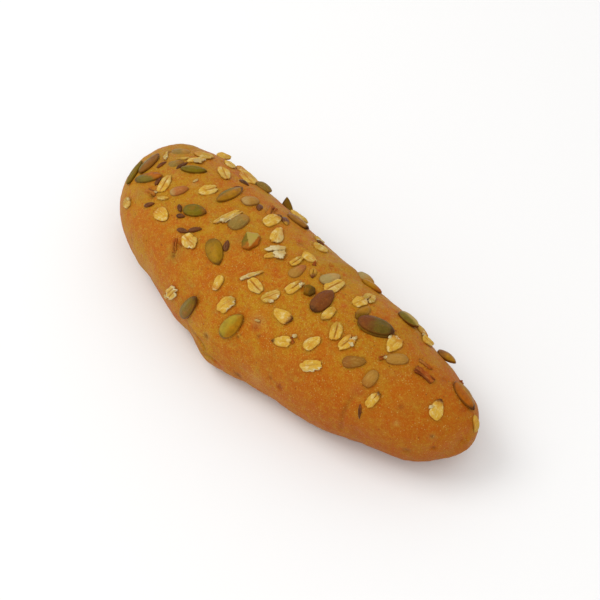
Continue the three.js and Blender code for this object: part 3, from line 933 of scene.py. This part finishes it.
def sunflowerFinish():
    finish = Finish("sunflowerSkin", Roughness=0.55, Specular_IOR_Level=0.3)
    spot, soft = finish.spot(), finish.between
    share, (x, y, z) = finish.split("relief")[0], finish.split("place")
    streaks = finish.noise(finish.vector(x * 1.1, y * 5, z), 1.6, 3, 0.6)
    mottle = finish.noise(spot, 0.6, 3, 0.6)
    fine = finish.noise(spot, 2.2, 3, 0.65)
    # painted highlight: the middle of each seed is made lighter than its rim
    colour = finish.glazed(seedColour(finish), (soft(share, 0.8, 0.2) * 0.4, (1.25, 1.28, 1.35)))
    colour = finish.coated(
        colour,
        (soft(streaks, 0.52, 0.74) * 0.4, (206, 168, 96)),
        (soft(streaks, 0.5, 0.24) * 0.4, (122, 82, 30)),
        (soft(mottle, 0.52, 0.72) * 0.35, (184, 118, 44)),
        (soft(fine, 0.54, 0.75) * 0.4, (204, 168, 96)),
        (soft(fine, 0.46, 0.25) * 0.4, (126, 78, 22)),
        (soft(share + (fine - 0.5) * 0.15, 0.88, 1) * 0.45, (136, 80, 24)),
        # painted shade: the seed's underside, below its middle, is darker
        (soft(z, 0.1, -0.15) * 0.4, (150, 92, 28)))
    return finish.wear(colour, None, fine + streaks * 1.5, 0.18, 0.6)


def oatFinish():
    finish = Finish("oatFlake", Roughness=0.68, Specular_IOR_Level=0.3)
    spot, soft = finish.spot(), finish.between
    share, torn, groove = finish.split("relief")
    _, crease, white = finish.split("marks")
    x, y, z = finish.split("place")
    fibres = finish.noise(finish.vector(x * 1.5, y * 5, z), 1.5, 3, 0.65)
    stain = finish.noise(spot + (0, 30, 0), 0.4, 3, 0.6)
    fine = finish.noise(spot, 2.6, 3, 0.65)
    frayed = soft(torn + (fine - 0.5) * 0.6, 0.2, 0.5)
    colour = finish.coated(
        seedColour(finish, 0.4),
        (soft(stain, 0.5, 0.66) * 0.6, (204, 132, 32)),
        (soft(stain, 0.47, 0.33) * 0.6, (238, 214, 150)),
        (soft(fibres, 0.52, 0.7) * 0.6, (240, 218, 150)),
        (soft(fibres, 0.48, 0.24) * 0.35, (192, 138, 46)),
        (soft(fine, 0.54, 0.75) * 0.35, (232, 208, 140)),
        (soft(fine, 0.46, 0.25) * 0.3, (182, 126, 36)),
        (soft(groove, 0, 0.5) * (crease * 0.5 + 0.3), (196, 128, 36)),
        (soft(groove + (fine - 0.5) * 0.3, 0.5, 0.9) * crease * 0.75, (144, 78, 20)),
        (frayed * (white * 0.85 + 0.1), (228, 212, 162)),
        (soft(share + (stain - 0.5) * 0.3, 0.9, 1.02) * 0.3, (194, 132, 44)),
        # painted shade: the flake's underside, below its middle, is darker
        (soft(z, 0, -0.4) * 0.5, (166, 102, 30)))
    colour = darkEnds(finish, colour, (90, 42, 16), 0.5)
    return finish.wear(colour, None, fibres + fine * 0.8, 0.2, 0.7)


def flaxFinish():
    finish = Finish("flaxSkin", Roughness=0.4, Specular_IOR_Level=0.4)
    mottle, z, soft = finish.noise(finish.spot(), 1.3, 3, 0.65), finish.split("place")[2], finish.between
    colour = finish.coated(
        seedColour(finish, 0.5),
        (soft(mottle, 0.5, 0.72) * 0.5, (158, 88, 40)),
        (soft(mottle, 0.48, 0.24) * 0.6, (58, 26, 12)),
        # painted shade: the seed's underside, below its middle, is darker
        (soft(z, 0.25, -0.1) * 0.5, (76, 34, 16)))
    return finish.wear(colour, None, mottle, 0.25, 0.7)


def huskFinish():
    finish = Finish("huskFibre", Roughness=0.65, Specular_IOR_Level=0.25)
    soft, hollow, (x, y, z) = finish.between, finish.split("relief")[2], finish.split("place")
    ribs = finish.noise(finish.vector(x * 1.3, y * 5, z), 1.5, 3, 0.6)
    fine = finish.noise(finish.spot(), 1.8, 3, 0.65)
    colour = finish.coated(
        seedColour(finish, 0.6),
        (soft(ribs, 0.5, 0.68) * 0.5, (214, 146, 74)),
        # painted shade: the hollows between the ribs are darker
        (soft(hollow, 0.55, 0.95) * 0.7, (104, 44, 14)),
        # painted shade: the shred's underside, below its middle, is darker
        (soft(z, 0.2, -0.2) * 0.6, (110, 48, 18)),
        (soft(fine, 0.46, 0.24) * 0.45, (110, 50, 18)))
    return finish.wear(colour, None, ribs + fine, 0.4, 0.8)


def crumbFinish():
    finish = Finish("oatCrumb", Roughness=0.8, Specular_IOR_Level=0.2)
    mottle, z, soft = finish.noise(finish.spot(), 1.1, 3, 0.65), finish.split("place")[2], finish.between
    colour = finish.coated(
        seedColour(finish),
        (soft(mottle, 0.54, 0.34) * 0.65, (204, 160, 84)),
        # painted shade: the crumb's underside, below its middle, is darker
        (soft(z, 0.2, -0.1) * 0.5, (190, 134, 58)))
    return finish.wear(colour, None, mottle, 0.35, 0.8)


# What shows of seeds that lie under the crust: along, around, turn, length, width, height, veil
hidden = [
    (-88, 26, 95, 11, 7, 0.4, 0.6), (-80.5, 4, 100, 10, 6, 0.3, 0.5), (-77, -48, 40, 8, 5, 0.6, 0.8),
    (-31, 39, -40, 7, 5, 0.5, 0.5), (65.5, -47, 20, 5.5, 4, 0.9, 0.2), (13.5, 46, 55, 12, 6.5, 0.8, 0.4),
    (-24, -62, 10, 6, 4, 0.3, 0.4), (34, -34, 0, 6, 4, 0.2, 0.3), (18.5, 58, 10, 8, 5, 0.4, 0.7),
    (-39, -56, 60, 9, 5, 0.3, 0.7), (-48, 0, 30, 8, 6, 0.3, 0.3), (-22, -9, 40, 8, 5, 0.3, 0.6),
    (26, -66, 20, 9, 6, 0.3, 0.3), (84, -34, 70, 9, 6, 0.4, 0.3), (-92, 50, 30, 10, 7, 0.5, 0.5),
    (-74, 0, 60, 8, 5, 0.2, 0.5), (2, 56, 10, 6, 5, 0.3, 0.9), (-12, -88, 20, 10, 4, 0.9, 0.1),
    (-4, -95, 30, 9, 4, 0.7, 0.1), (40, -62, 70, 11, 7, 0.3, 0.2), (78, -70, 50, 10, 7, 0.3, 0.1),
    (-60, -66, 20, 9, 6, 0.3, 0.2), (70, -18, 60, 9, 6, 0.3, 0.3), (84, 6, 80, 8, 6, 0.25, 0.3),
    (9.2, 35.2, 70, 7, 6, 0.5, 0.6), (14, 55, 12, 14, 9, 0.9, 0.6),
]
# Marks on the crust: along, around, radius, depth, scorch and painted shade in the pit, ember, pallor
marks = [
    (-39.8, -57, 0.9, 0.6, 1, 0, 0), (-4, -82, 1.3, 0.9, 0.9, 0, 0.7), (10, -67, 0.7, 0.5, 0.8, 0, 0),
    (18, -57, 0.9, 0.5, 0.7, 0.2, 0), (13.5, -101, 1.6, 0.5, 1, 0, 0), (31, -80, 0.7, 0.4, 0.7, 0, 0),
    (36, -83, 1.4, 0.5, 0.6, 0.7, 0), (97, -57, 0.9, 0.5, 0.8, 0.2, 0.5), (98.5, -83, 0.8, 0.4, 0.8, 0, 0),
    (91, -93, 1.4, 0.3, 0.6, 0, 0), (-69, -82, 1.1, 0.3, 0.5, 0.6, 0), (82.5, -38.5, 1.1, 0.4, 0.5, 0.5, 0),
    (-28, -98, 2.2, 0.2, 0.1, 0.9, 0), (4, -100, 1.8, 0.1, 0, 0.8, 0), (24, -92, 2.5, 0.1, 0, 0, 0.6),
    (13.3, -48.5, 1.6, 0.4, 0, 0.3, 0.7), (14.5, -53.5, 1.5, 0.5, 0.4, 0.6, 0.1),
    (-62.7, 6.5, 1.3, -0.2, 0.1, 0.9, 0.2), (-18, -48, 1.3, -0.2, 0, 0.9, 0),
    (0.9, -5.4, 1.2, -0.2, 0, 1, 0), (5, -8, 0.8, 0, 0.1, 0.7, 0), (34, 12.5, 1.3, -0.1, 0, 0.9, 0.1),
    (-7, 38, 1.5, 0.1, 0, 0.8, 0), (-5, 36, 1.5, 0.1, 0.5, 0.1, 0), (49.5, 30.5, 1.4, 0, 0.1, 0.9, 0),
    (65.5, 44, 1.5, 0, 0, 0.8, 0.1), (65.5, -47, 2, 0, 0.2, 0.6, 0.2), (84.5, -57, 0.7, 0.2, 0.1, 0, 0.6),
    (-62.4, 2, 1, -0.1, 0, 0, 0.7), (-75, -7, 1, -0.1, 0, 0.6, 0.2), (-71.6, -39.5, 1.3, 0.9, 1, 0, 0),
    (-90.5, 14.5, 1, 0.3, 0.9, 0, 0), (-40.5, -47.5, 1.1, 0.7, 0.9, 0, 0),
    (-27.5, 38.5, 1, 0.4, 0.7, 0.3, 0), (6.5, 5.5, 0.6, 0.2, 0.7, 0, 0), (14.8, 24, 0.6, 0.3, 0.8, 0, 0),
    (58, -19, 0.8, 0.3, 0.5, 0, 0), (84, 28, 1.4, 0.2, 0.3, 0.5, 0), (97, 20, 1.6, 0.2, 0.2, 0.7, 0),
    (13.2, 38.3, 1.2, 0.5, 0.3, 0.6, 0), (15.8, 40.4, 1.3, -0.4, 0, 0.6, 0),
    (18.4, 42.7, 1.2, -0.4, 0, 0.5, 0.2), (1.7, 71.2, 1, 0.6, 0.8, 0.3, 0), (99, 77, 2.6, 0.3, 0.5, 0.2, 0),
]
# Folds: the points of each, its half width, depth, painted shade along the fold
folds = [
    ([(65.6, -56), (65.4, -64), (65.2, -74), (65.4, -84), (65, -96)], 1, 0.5, 0.3),
    ([(71, -90), (70, -105), (70, -118)], 3, 0.8, 0.1),
    ([(-17, -92), (-10, -88), (-3, -92)], 0.9, 0.8, 0.5),
    ([(-12, -99), (-5, -96), (2, -98)], 0.9, 0.7, 0.4),
    ([(97.9, -85.2), (99.1, -52.5), (99.7, -22.7)], 0.7, 0.3, 0),
]
# Patches of colour: along, around, reach along in mm, reach around in degrees, orange, olive, pale
patches = [
    (-42, -60, 24, 15, 0.9, 0, 0), (-8, -27, 9, 12, 0.8, 0, 0), (16, -54, 18, 14, 0.8, 0, 0),
    (48, -72, 16, 26, 1, 0, 0), (62, -80, 9, 22, 1.2, 0, 0), (86, -60, 14, 36, 1, 0, 0),
    (24, -95, 16, 12, 0.6, 0, 0), (-66, 50, 10, 10, 0.3, 0, 0), (-62, -26, 14, 14, 0, 0.8, 0),
    (30, -6, 18, 13, 0, 0.7, 0), (15, 50, 9, 14, 0, 1.1, 0), (-90, 5, 10, 50, 0, 1, 0),
    (-40, -57, 5, 8, 0, 0.9, 0), (8, -70, 6, 6, 0, 0.7, 0), (-77, -48, 6, 9, 0, 0.8, 0),
    (-22, 12, 9, 12, 0, 0.5, 0), (60, -8, 12, 12, 0, 0.5, 0), (-60, -84, 26, 11, 0, 0, 0.9),
    (-18, -86, 14, 11, 0, 0, 0.8), (44, -98, 14, 10, 0, 0, 0.4), (-2, 60, 12, 8, 0, 0, 0.8),
    (22, 38, 8, 9, 0, 0.6, 0), (-45, -2, 9, 12, 0, 0.4, 0), (88, 20, 9, 16, 0.6, 0, 0),
]


def placeOnCrust(along, around, fromAlong, fromAround):
    # mm along and across from a place, measured on the crust
    alongPace, aroundPace = crustFrame(fromAlong, fromAround)[4:]
    return (along - fromAlong) * alongPace, turned(around - fromAround) * aroundPace


def crustRelief(along, around):
    # how high the crust's own small forms stand, and the masks that its finish reads
    height = np.zeros_like(along)
    tints, markTints = ("orange", "olive", "pale"), ("scorch", "ember", "pallor")
    layers = {name: np.zeros_like(along) for name in (*markTints, "veil", *tints)}
    for middle, face, reach, spread, *amounts in patches:
        far = ((along - middle) / reach) ** 2 + (turned(around - face) / spread) ** 2
        for name, amount in zip(tints, amounts):
            layers[name] += amount * np.exp(-far)
    for middle, face, turn, length, width, rise, veil in hidden:
        x, y = placeOnCrust(along, around, middle, face)
        cosTurn, sinTurn = aimed(turn)
        lengthwise, crosswise = x * cosTurn + y * sinTurn, y * cosTurn - x * sinTurn
        far = (lengthwise / (length / 2)) ** 2 + (crosswise / (width / 2)) ** 2
        height += rise * np.exp(-far ** 1.5 * 0.8)
        layers["veil"] = np.maximum(layers["veil"], veil * np.exp(-far * 0.6))
    for middle, face, radius, depth, *amounts in marks:
        x, y = placeOnCrust(along, around, middle, face)
        far = (x * x + y * y) / radius ** 2
        height -= depth * np.exp(-far)
        # the first tint darkens each pit: partly scorched crust, partly painted shade in the hollow
        for name, amount in zip(markTints, amounts):
            fall = 0.35 if name == "pallor" else 0.9  # pallor spreads wider
            layers[name] = np.maximum(layers[name], amount * np.exp(-far * fall))
    for points, width, depth, scorch in folds:
        nearest = np.full_like(along, 1e9)
        for start, end in zip(points, points[1:]):
            x, y = placeOnCrust(along, around, *start)
            endX, endY = placeOnCrust(*end, *start)
            part = np.clip((x * endX + y * endY) / (endX ** 2 + endY ** 2), 0, 1)
            nearest = np.minimum(nearest, np.hypot(x - part * endX, y - part * endY))
        fold = np.exp(-(nearest / width) ** 2)
        height -= depth * fold
        # painted shade along the fold
        layers["scorch"] = np.maximum(layers["scorch"], scorch * fold)
    return height, layers


def crustTree(material):
    # Unevenness of the skin, the moat round each seed, and the mask of the skin near seeds
    inputs = {"Seeds": ("Collection", None), "Unevenness": ("Float", 0.45), "Dimples": ("Float", 0.3),
              "Grain": ("Float", 0.1), "Moat Depth": ("Float", 0.12), "Moat Reach": ("Float", 1.3)}
    graph = geometryTree("crustSkin", inputs)
    wires = graph.inputs
    where = graph.node("GeometryNodeInputPosition") * (1 / mm)
    seeds = graph.node("GeometryNodeCollectionInfo", None, {"Collection": wires["Seeds"]})
    realSeeds = graph.node("GeometryNodeRealizeInstances", None, {0: seeds})
    gap = graph.node("GeometryNodeProximity", {"target_element": "FACES"}, {"Geometry": realSeeds},
                     "Distance")
    near = 1 - graph.between(gap * (1 / mm), 0.0, wires["Moat Reach"])
    height = near * wires["Moat Depth"] * -1
    for name, scale in {"Unevenness": 0.07, "Dimples": 0.22, "Grain": 0.9}.items():
        height = height + (graph.noise(where, scale) - 0.5) * 2 * wires[name]
    kept = graph.node("GeometryNodeStoreNamedAttribute", {"data_type": "FLOAT", "domain": "POINT"},
                      {"Geometry": wires["Geometry"], "Name": "nearSeed", "Value": near})
    offset = graph.node("GeometryNodeInputNormal") * (height * mm)
    moved = graph.node("GeometryNodeSetPosition", None, {"Geometry": kept, "Offset": offset})
    x, y, z = graph.parts(graph.node("GeometryNodeInputPosition"))
    onFloor = graph.vector(x, y, graph.maths("MAXIMUM", z, 0.0))
    rested = graph.node("GeometryNodeSetPosition", None, {"Geometry": moved, "Position": onFloor})
    closeTree(graph, rested, material)
    return graph, inputs


def crustFinish():
    finish = Finish("bakedCrust", Roughness=0.55, Specular_IOR_Level=0.2)
    spot, soft, value = finish.spot(), finish.between, finish.value
    x, _, z = finish.parts(spot)
    broad = finish.noise(spot, 0.04, 3, 0.55)
    patch = finish.noise(spot, 0.13, 3, 0.6)
    blotch = finish.noise(spot + (90, 0, 0), 0.22, 3, 0.6)
    smudge = finish.noise(spot + (0, 60, 0), 0.3, 4, 0.7)
    small = finish.noise(spot, 0.42, 3, 0.65)
    fine = finish.noise(spot, 1.3, 3, 0.7)
    tiny = finish.noise(spot, 2.6, 2, 0.7)
    edge = (patch - 0.5) * 1.4 + (small - 0.5) * 0.9
    toast = broad + (patch - 0.5) * 0.9 + (small - 0.5) * 0.6 + (value("orange") - value("olive")) * 0.2
    nearEnd = soft(x + (patch - 0.5) * 40, 10, 100)
    baked = soft(x + (patch - 0.5) * 50, 30, 90) * soft(z + (small - 0.5) * 10, 28, 10)
    dot = soft(finish.cells(spot, 0.55), 0.26, 0.12)
    dotPick = finish.parts(finish.cells(spot, 0.55, "Color"))
    fleckPick = finish.parts(finish.cells(spot, 1.1, "Color"))[0]
    fleck = soft(finish.cells(spot, 1.1), 0.32, 0.12) * soft(fleckPick + (patch - 0.5), 0.72, 0.8)
    colour = finish.coated(
        finish.mix(soft(toast, 0.42, 0.58), shade(190, 133, 18), shade(192, 107, 6)),
        (soft(value("orange") + edge, 0.35, 0.95) * 0.55, (187, 90, 6)),
        (soft(value("olive") + edge, 0.35, 0.95) * 0.55, (176, 129, 20)),
        (nearEnd * 0.5, (176, 86, 8)),
        (baked * 0.45, (156, 70, 6)),
        (soft(value("pale") + edge, 0.3, 0.9) * 0.6, (194, 142, 32)),
        (soft(z, 12, 2) * 0.3, (184, 122, 34)),
        (value("nearSeed") * 0.3, (172, 122, 28)),
        (soft(small, 0.52, 0.64) * (0.55 - nearEnd * 0.25), (198, 148, 44)),
        (soft(small, 0.48, 0.36) * 0.6, (188, 88, 3)),
        (soft(smudge, 0.53, 0.66) * (0.45 - nearEnd * 0.3), (170, 132, 44)),
        (soft(blotch, 0.52, 0.66) * 0.4, (180, 78, 4)),
        (value("veil") * 0.6, (164, 126, 48)),
        (value("pallor") * 0.7, (208, 166, 88)),
        (value("ember") * 0.85, (186, 66, 10)),
        # darkest in pits and along folds: partly scorched crust, partly painted shade in these hollows
        (value("scorch") * 0.85, (84, 46, 20)),
        (dot * soft(dotPick[0], 0.66, 0.7) * 0.75, (188, 66, 5)),
        (dot * soft(dotPick[1], 0.92, 0.94) * 0.7, (112, 58, 20)),
        (fleck * 0.7, (216, 180, 104)),
        (soft(fine, 0.53, 0.68) * (0.48 - nearEnd * 0.15), (208, 154, 48)),
        (soft(fine, 0.48, 0.34) * 0.5, (180, 82, 2)),
        (soft(tiny, 0.54, 0.66) * (0.42 - nearEnd * 0.15), (214, 164, 58)),
        (soft(tiny, 0.48, 0.34) * 0.45, (180, 84, 3)))
    roughness = soft(small, 0.2, 0.8) * 0.15 + 0.5
    return finish.wear(colour, roughness, fine * 1.2 + tiny * 0.8 + small, 0.4, 0.5)


def crustPiece(seeds):
    half, ease = dough["length"] / 2, dough["soleEase"]
    rows, columns = dough["rows"], dough["columns"]
    dense = np.linspace(-half, half, 20001)
    width = crustPoint(dense, 90)[:, 1] - crustPoint(dense, 0)[:, 1]
    legs = [np.diff(line) for line in (dense, width, crustPoint(dense, 0)[:, 2])]
    path = np.concatenate([[0], np.cumsum(np.sqrt(sum(leg ** 2 for leg in legs)))])
    stations = np.interp(np.linspace(0, path[-1], rows + 2)[1:-1], path, dense)
    steps = (np.arange(columns) + 0.5) / columns * 2 - 1
    angles = 180 * (steps + dough["crowding"] * (steps ** 3 - steps))
    along, around = [line.ravel() for line in np.meshgrid(stations, angles, indexing="ij")]
    place, normal = crustFrame(along, around)[:2]
    height, layers = crustRelief(along, around)
    points = np.concatenate([place + normal * height[:, None], [crustPoint(-half, 0), crustPoint(half, 0)]])
    points[:, 2] = (points[:, 2] + np.sqrt(points[:, 2] ** 2 + ease ** 2)) / 2
    faces, first, end = [], rows * columns, (rows - 1) * columns
    for column in range(columns):
        after = (column + 1) % columns
        faces += [(low + columns + column, low + columns + after, low + after, low + column)
                  for low in range(0, end, columns)]
        faces += [(column, after, first), (end + after, end + column, first + 1)]
    masks = {name: ("FLOAT", np.concatenate([values, [0, 0]])) for name, values in layers.items()}
    made = meshObject("crust", points * mm, faces, masks)
    holder = gathered("seedsOnCrust", seeds)
    graph, inputs = crustTree(crustFinish())
    grown(made, graph, inputs | {"Seeds": ("Collection", holder)}, list(layers) + ["nearSeed"])
    bpy.data.collections.remove(holder)
    made.data.shade_smooth()
    print("crust made:", len(made.data.polygons), "faces")
    return made


# Camera, light and floor
studio = {
    "lens": 96.3, "sensor": 36, "shift": (0.00527, -0.0144),
    "lookAt": (0, 9.5, 20.25), "distance": 700, "heading": 48.81, "elevation": 50,
    "sky": 0.85, "floorReach": 6, "floorTone": 0.86,
    # each lamp: across, forward and up from the roll (m), size (m), power
    "softKey": (-0.7, 0.25, 1.05, 0.7, 5.8), "softFill": (0.2, -1.0, 0.8, 1.0, 2.2),
}


def aimedObject(name, data, place, direction):
    made = bpy.data.objects.new(name, data)
    made.location, made.rotation_euler = place, direction.to_track_quat("-Z", "Y").to_euler()
    bpy.context.scene.collection.objects.link(made)
    return made


def makeStudio():
    across = Vector((*aimed(studio["heading"]), 0))
    forward = Vector((*aimed(studio["heading"] + 90), 0))
    level, down = aimed(studio["elevation"])
    away = forward * level - Vector((0, 0, down))
    target = Vector(studio["lookAt"]) * mm
    camera = bpy.data.cameras.new("camera")
    camera.lens, camera.sensor_width = studio["lens"], studio["sensor"]
    camera.shift_x, camera.shift_y = studio["shift"]
    place = target - away * studio["distance"] * mm
    bpy.context.scene.camera = aimedObject("camera", camera, place, away)
    world = bpy.data.worlds.new("sky")
    world.use_nodes = True
    sky = world.node_tree.nodes["Background"].inputs
    sky["Color"].default_value, sky["Strength"].default_value = (1, 1, 1, 1), studio["sky"]
    bpy.context.scene.world = world
    for name in ("softKey", "softFill"):
        right, ahead, up, size, power = studio[name]
        lamp = bpy.data.lights.new(name, "AREA")
        lamp.size, lamp.energy = size, power
        place = across * right + forward * ahead + Vector((0, 0, up))
        aimedObject(name, lamp, place, target - place)
    reach, tone = studio["floorReach"], studio["floorTone"]
    corners = [(-reach, -reach, 0), (reach, -reach, 0), (reach, reach, 0), (-reach, reach, 0)]
    floor = meshObject("floor", corners, [(0, 1, 2, 3)])
    floor.data.materials.append(Finish("paleFloor", Roughness=0.9).wear((tone, tone, tone, 1)))
    bpy.context.scene.view_settings.view_transform = "Standard"
    print("studio made")


def seedPieces():
    kinds = {"pumpkin": pumpkin, "sunflower": sunflower, "oat": oat, "flax": flax, "husk": husk}
    draw = drawer(scatter["toneSeed"])
    forms = list(flakeForms)[:scatter["forms"]]
    for name, along, around, turn, size in scatteredSeeds(kinds):
        kind = kinds[name]
        tones = [list(kind["colours"])[int(next(draw) * scatter["tones"])] for _ in range(2)]
        more = {"form": forms[int(next(draw) * len(forms))]} if name == "oat" else {}
        kind["rows"].append((along, around, turn, size, size * kind["width"], *tones, more))
    keep = ["place", "relief", "tone", "toneTwo", "fade", "marks"]
    pieces = [
        ("pumpkinSeeds", pumpkin, pumpkinShape, pumpkinFinish, "pumpkin_seed"),
        ("sunflowerSeeds", sunflower, sunflowerShape, sunflowerFinish, "sunflower_seed"),
        ("oatFlakes", oat, flakeShape, oatFinish, "oat_flake"),
        ("flaxSeeds", flax, flaxShape, flaxFinish, "flax_seed"),
        ("huskShreds", husk, huskShape, huskFinish, "flax_seed"),
        ("oatCrumbs", crumb, crumbShape, crumbFinish, "oat_flake"),
    ]
    return [(seedPiece(name, kind, makeShape, makeFinish(), keep), slot)
            for name, kind, makeShape, makeFinish, slot in pieces]


makeStudio()
seeds = seedPieces()
crust = crustPiece([piece for piece, slot in seeds])
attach(crust, "root")
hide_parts("roll")
for piece, slot in seeds:
    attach(piece, "root")
